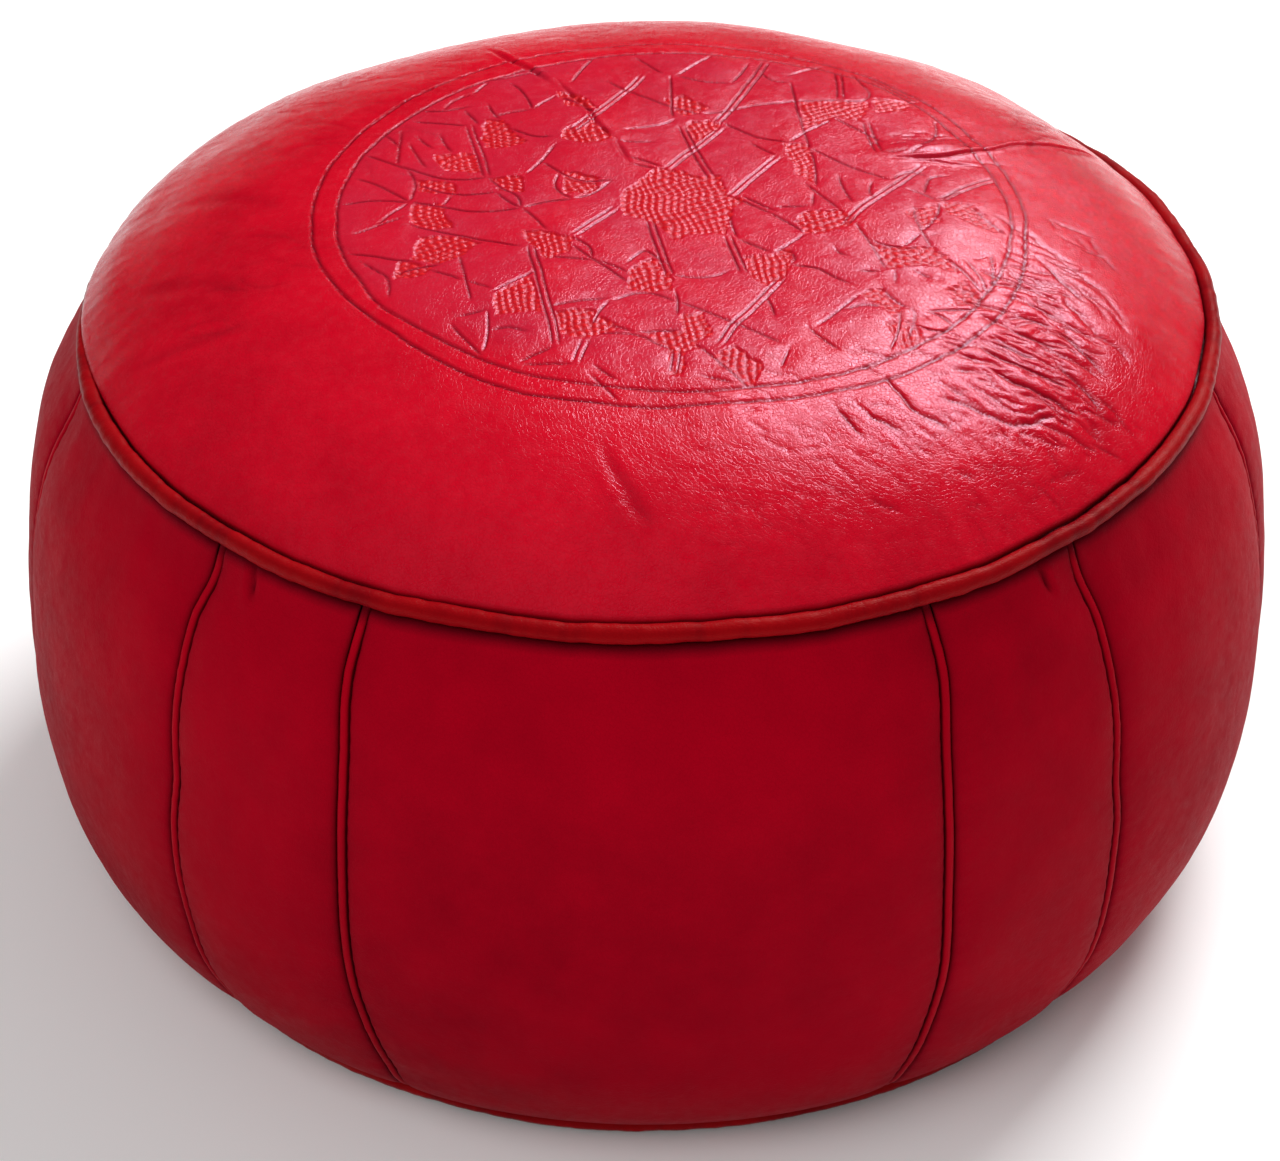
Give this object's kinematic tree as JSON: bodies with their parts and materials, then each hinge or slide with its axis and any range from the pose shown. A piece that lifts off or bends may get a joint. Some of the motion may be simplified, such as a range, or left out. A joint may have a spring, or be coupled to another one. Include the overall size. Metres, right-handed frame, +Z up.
{
  "type": "leather pouf",
  "caption": "Low round stuffed leather pouf with a domed tooled top, panelled sides, rolled piping and a zip in the flat base, used as a footstool or seat.",
  "frame": {"origin": "middle of the flat base, on the floor", "axes": "+Z up, front towards -Y, the zip runs along X"},
  "size_m": [0.5494, 0.5494, 0.3064],
  "materials": {
    "top_leather": "red goatskin, hand tooled and polished, semi-gloss with fine grain",
    "side_leather": "crimson goatskin, satin, mottled",
    "welt_leather": "crimson goatskin strip, folded, satin",
    "piping_leather": "red goatskin rolled round a cord, semi-gloss",
    "base_leather": "dark red goatskin, matte",
    "piping_cord": "twisted cotton cord",
    "zip_tape": "dark red woven tape",
    "zip_metal": "antique brass, lightly rubbed",
    "bag_cotton": "unbleached cotton calico",
    "stuffing": "loose cotton wadding"
  },
  "bodies": {
    "pouf_body": {"top_panel": "top_leather", "side_panel_front": "side_leather", "side_panel_right_front_narrow": "side_leather", "side_panel_right_front": "side_leather", "side_panel_right": "side_leather", "side_panel_right_back": "side_leather", "side_panel_right_back_narrow": "side_leather", "side_panel_back": "side_leather", "side_panel_left_back_narrow": "side_leather", "side_panel_left_back": "side_leather", "side_panel_left": "side_leather", "side_panel_left_front": "side_leather", "side_panel_left_front_narrow": "side_leather", "side_welt_1": "welt_leather", "side_welt_2": "welt_leather", "side_welt_3": "welt_leather", "side_welt_4": "welt_leather", "side_welt_5": "welt_leather", "side_welt_6": "welt_leather", "side_welt_7": "welt_leather", "side_welt_8": "welt_leather", "side_welt_9": "welt_leather", "side_welt_10": "welt_leather", "side_welt_11": "welt_leather", "side_welt_12": "welt_leather", "top_piping": "piping_leather", "bottom_piping": "piping_leather", "top_piping_cord": "piping_cord", "bottom_piping_cord": "piping_cord", "base_panel_front": "base_leather", "base_panel_back": "base_leather", "zip_facing_front": "base_leather", "zip_facing_back": "base_leather", "zip_tape_front": "zip_tape", "zip_tape_back": "zip_tape", "zip_teeth_front": "zip_metal", "zip_teeth_back": "zip_metal", "zip_top_stop_front": "zip_metal", "zip_top_stop_back": "zip_metal", "zip_bottom_stop": "zip_metal", "cotton_inner_bag": "bag_cotton", "stuffing": "stuffing"},
    "zip_slider": {"zip_slider": "zip_metal"},
    "zip_pull_tab": {"zip_pull_tab": "zip_metal"}
  },
  "joints": [
    {"name": "zip_slide", "type": "slide", "parent": "pouf_body", "child": "zip_slider", "axis": [-1, 0, 0], "range_m": [0, 0.344]},
    {"name": "pull_tab_hinge", "type": "hinge", "parent": "zip_slider", "child": "zip_pull_tab", "pos_m": [0.172, 0, 0.00505], "axis": [0, -1, 0], "range_deg": [-8, 172]}
  ]
}
